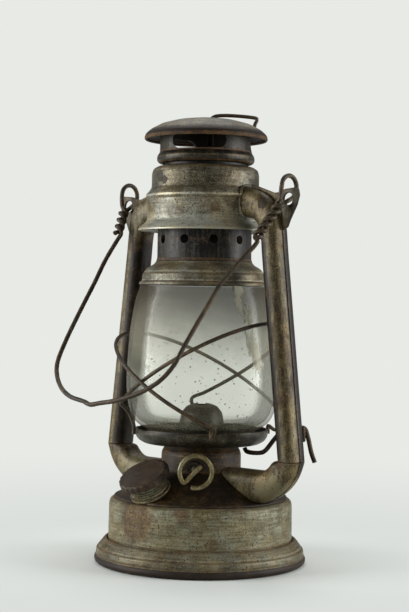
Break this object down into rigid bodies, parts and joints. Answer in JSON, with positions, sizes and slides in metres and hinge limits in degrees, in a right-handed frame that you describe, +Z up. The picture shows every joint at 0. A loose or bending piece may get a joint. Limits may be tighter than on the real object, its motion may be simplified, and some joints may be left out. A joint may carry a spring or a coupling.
{
  "type": "kerosene hurricane lantern",
  "caption": "tubular kerosene lantern with a glass globe that lifts on a wire lever, a screw filler cap, a wick winder and a swinging wire handle",
  "frame": {"origin": "middle of the flat underside of the base pan", "axes": "+Z up, the air tubes at +X and -X, the filler cap leans out towards -Y, the winder points out between +X and -Y"},
  "size_m": [0.1451, 0.1329, 0.2515],
  "materials": {
    "galvanised": "tinned, dull, stained with rust",
    "rusty_steel": "dark rust brown",
    "dark_wire": "rusted drawn wire",
    "pale_wire": "worn plated wire",
    "brass_parts": "dull, smoked",
    "globe_glass": "clear, smoked at its top and frosted below",
    "cap_paint": "worn dark brown",
    "seal_rubber": "matte",
    "wick_cotton": "woven cotton"
  },
  "bodies": {
    "frame": {"base_pan": "galvanised", "tank_shell": "galvanised", "air_cone": "rusty_steel", "tube_elbow_right": "galvanised", "tube_elbow_left": "galvanised", "air_tube_right": "galvanised", "air_tube_left": "galvanised", "crown": "galvanised", "crown_floor": "galvanised", "ear_right": "galvanised", "ear_left": "galvanised", "filler_neck": "galvanised", "burner_base": "brass_parts", "wick_tube": "brass_parts", "air_plate": "brass_parts", "flame_deflector": "brass_parts", "winder_bush": "brass_parts", "shaft_bracket": "brass_parts", "lever_bracket": "rusty_steel", "lever_pin": "rusty_steel"},
    "globe_unit": {"globe_plate": "rusty_steel", "globe": "globe_glass", "guard_wire_outer": "dark_wire", "guard_wire_inner": "dark_wire"},
    "chimney_unit": {"chimney_neck": "galvanised", "chimney_top": "galvanised", "hood": "galvanised", "hood_loop": "dark_wire"},
    "lever": {"lift_lever": "dark_wire"},
    "winder": {"winder_knob": "pale_wire", "wick_wheels": "brass_parts"},
    "wick_strip": {"wick": "wick_cotton"},
    "seal": {"cap_seal": "seal_rubber"},
    "cap": {"filler_cap": "cap_paint"},
    "bail": {"handle": "dark_wire"}
  },
  "joints": [
    {"name": "globe_lift", "type": "slide", "parent": "frame", "child": "globe_unit", "axis": [0, 0, 1], "range_m": [0, 0.01]},
    {"name": "chimney_lift", "type": "slide", "parent": "frame", "child": "chimney_unit", "axis": [0, 0, 1], "range_m": [0, 0.01]},
    {"name": "lever_turn", "type": "hinge", "parent": "frame", "child": "lever", "pos_m": [0.0637, 0.011, 0.0756], "axis": [0, 1, 0], "range_deg": [0, 13.6]},
    {"name": "winder_turn", "type": "hinge", "parent": "frame", "child": "winder", "pos_m": [-0.00347, -0.0036, 0.055], "axis": [0.7193, -0.6947, 0], "range_deg": [-145, 90]},
    {"name": "wick_slide", "type": "slide", "parent": "frame", "child": "wick_strip", "axis": [0, 0, 1], "range_m": [-0.01, 0.0062]},
    {"name": "cap_lift", "type": "slide", "parent": "frame", "child": "seal", "axis": [0, -0.5068, 0.862], "range_m": [0, 0.0075]},
    {"name": "cap_turn", "type": "hinge", "parent": "seal", "child": "cap", "pos_m": [0, -0.0395, 0.04212], "axis": [0, -0.5068, 0.862], "range_deg": [0, 680]},
    {"name": "handle_swing", "type": "hinge", "parent": "frame", "child": "bail", "pos_m": [0, 0, 0.2074], "axis": [-1, 0, 0], "range_deg": [0, 296]}
  ],
  "couplings": [
    {"joint": "chimney_lift", "follows": "globe_lift", "ratio": 1},
    {"joint": "lever_turn", "follows": "globe_lift", "rad_per_m": 23.5},
    {"joint": "wick_slide", "follows": "winder_turn", "m_per_rad": 0.0039},
    {"joint": "cap_turn", "follows": "cap_lift", "rad_per_m": 1570.8}
  ]
}
